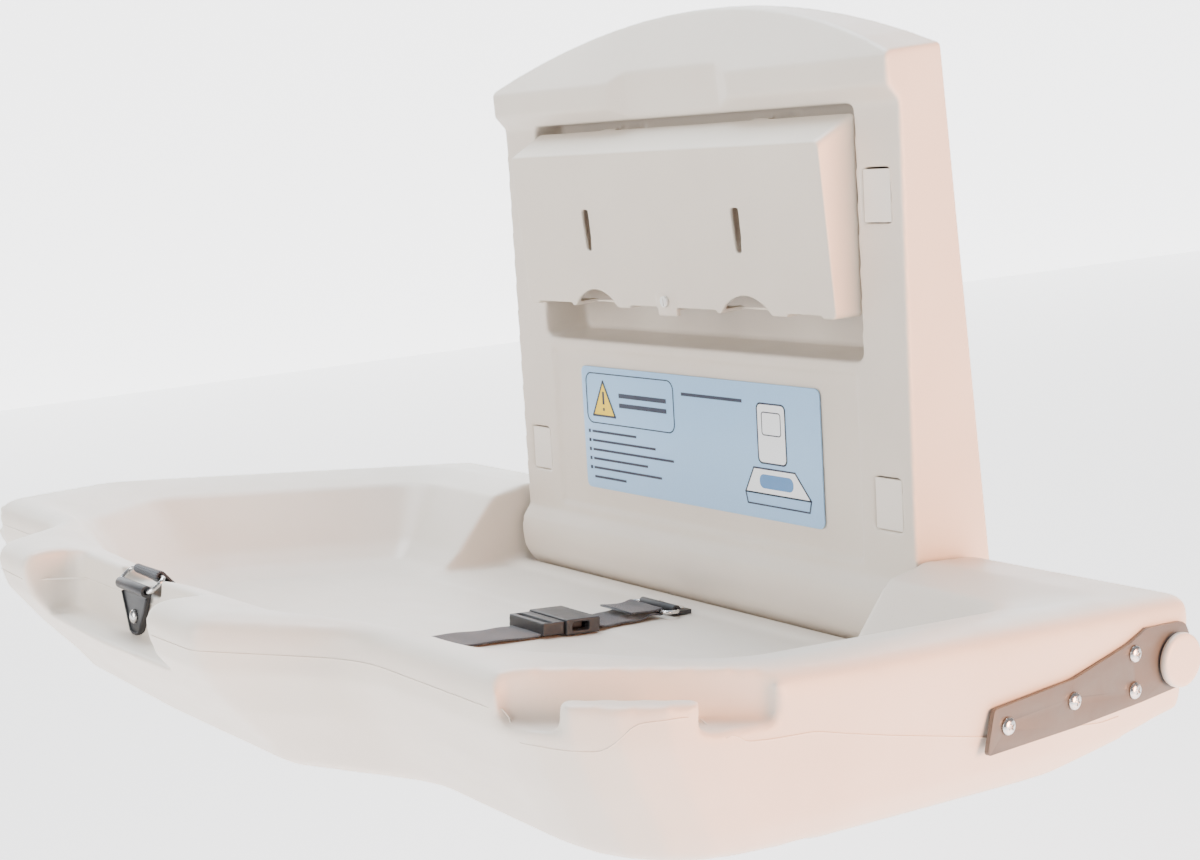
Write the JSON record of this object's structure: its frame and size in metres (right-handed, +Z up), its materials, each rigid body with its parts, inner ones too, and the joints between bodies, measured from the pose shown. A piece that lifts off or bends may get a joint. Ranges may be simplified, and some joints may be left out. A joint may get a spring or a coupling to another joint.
{
  "type": "fold-down baby changing station",
  "caption": "Wall-mounted changing station: hinged moulded tray with raised rim, bag hooks and safety belt, folding up over a wall unit with a liner dispenser.",
  "frame": {"origin": "on the wall plane, at the centre of the four wall bolts' rectangle, on the back frame's rear face", "axes": "+X to the viewer's right when facing the wall, +Y into the wall, +Z up"},
  "size_m": [0.857, 0.5294, 0.4608],
  "materials": {
    "body_plastic": "fine moulded grain, satin",
    "tray_plastic": "fine moulded grain, satin",
    "cover_plastic": "satin",
    "zinc_steel": "zinc plated",
    "taupe_steel": "satin powder coat",
    "label_blue": "printed film",
    "white_acetal": "smooth",
    "black_nylon": "moulded",
    "black_rubber": "matt",
    "grey_webbing": "woven"
  },
  "bodies": {
    "wall_unit": {"back_frame": "zinc_steel", "bolt_washer_1": "zinc_steel", "bolt_washer_2": "zinc_steel", "bolt_washer_3": "zinc_steel", "bolt_washer_4": "zinc_steel", "cover_pin_left": "zinc_steel", "cover_pin_right": "zinc_steel", "damper_housing_left": "black_nylon", "damper_housing_right": "black_nylon", "hinge_bush_left": "white_acetal", "hinge_bush_right": "white_acetal", "label_plate": "label_blue", "plug_cover_1": "body_plastic", "plug_cover_2": "body_plastic", "plug_cover_3": "body_plastic", "plug_cover_4": "body_plastic", "stop_block_left": "black_rubber", "stop_block_right": "black_rubber", "wall_body": "body_plastic", "wall_bolt_1": "zinc_steel", "wall_bolt_2": "zinc_steel", "wall_bolt_3": "zinc_steel", "wall_bolt_4": "zinc_steel"},
    "tray": {"anchor_rivet_left": "zinc_steel", "anchor_rivet_right": "zinc_steel", "anchor_screw": "zinc_steel", "buckle_plug": "black_nylon", "buckle_socket": "black_nylon", "damper_rotor_left": "white_acetal", "damper_rotor_right": "white_acetal", "front_anchor": "black_nylon", "hinge_cap_left": "tray_plastic", "hinge_cap_right": "tray_plastic", "hinge_pin_left": "zinc_steel", "hinge_pin_right": "zinc_steel", "hinge_plate_left": "taupe_steel", "hinge_plate_right": "taupe_steel", "plate_screw_1_left": "taupe_steel", "plate_screw_1_right": "taupe_steel", "plate_screw_2_left": "taupe_steel", "plate_screw_2_right": "taupe_steel", "plate_screw_3_left": "taupe_steel", "plate_screw_3_right": "taupe_steel", "plate_screw_4_left": "taupe_steel", "plate_screw_4_right": "taupe_steel", "rear_anchor": "black_nylon", "stop_arm_left": "zinc_steel", "stop_arm_right": "zinc_steel", "strap_front": "grey_webbing", "strap_rear": "grey_webbing", "tray_shell": "tray_plastic"},
    "cover": {"dispenser_cover": "cover_plastic"},
    "latch": {"dispenser_latch": "white_acetal"},
    "front_ring_body": {"front_ring": "zinc_steel"},
    "rear_ring_body": {"rear_ring": "zinc_steel"}
  },
  "joints": [
    {"name": "tray_fold", "type": "hinge", "parent": "wall_unit", "child": "tray", "pos_m": [0, -0.042, -0.1715], "axis": [-1, 0, 0], "range_deg": [0, 80]},
    {"name": "cover_hinge", "type": "hinge", "parent": "wall_unit", "child": "cover", "pos_m": [0, -0.036, 0.1465], "axis": [1, 0, 0], "range_deg": [-60, 0]},
    {"name": "latch_turn", "type": "hinge", "parent": "cover", "child": "latch", "pos_m": [0, -0.0706, 0.0295], "axis": [0, 1, 0], "range_deg": [0, 90]},
    {"name": "front_ring_swing", "type": "hinge", "parent": "tray", "child": "front_ring_body", "pos_m": [0, -0.49514, -0.06887], "axis": [1, 0, 0], "range_deg": [0, 70], "deforming": ["strap_front"]},
    {"name": "rear_ring_swing", "type": "hinge", "parent": "tray", "child": "rear_ring_body", "pos_m": [0, -0.11035, -0.18765], "axis": [-1, 0, 0], "range_deg": [0, 15], "deforming": ["strap_rear"]}
  ]
}
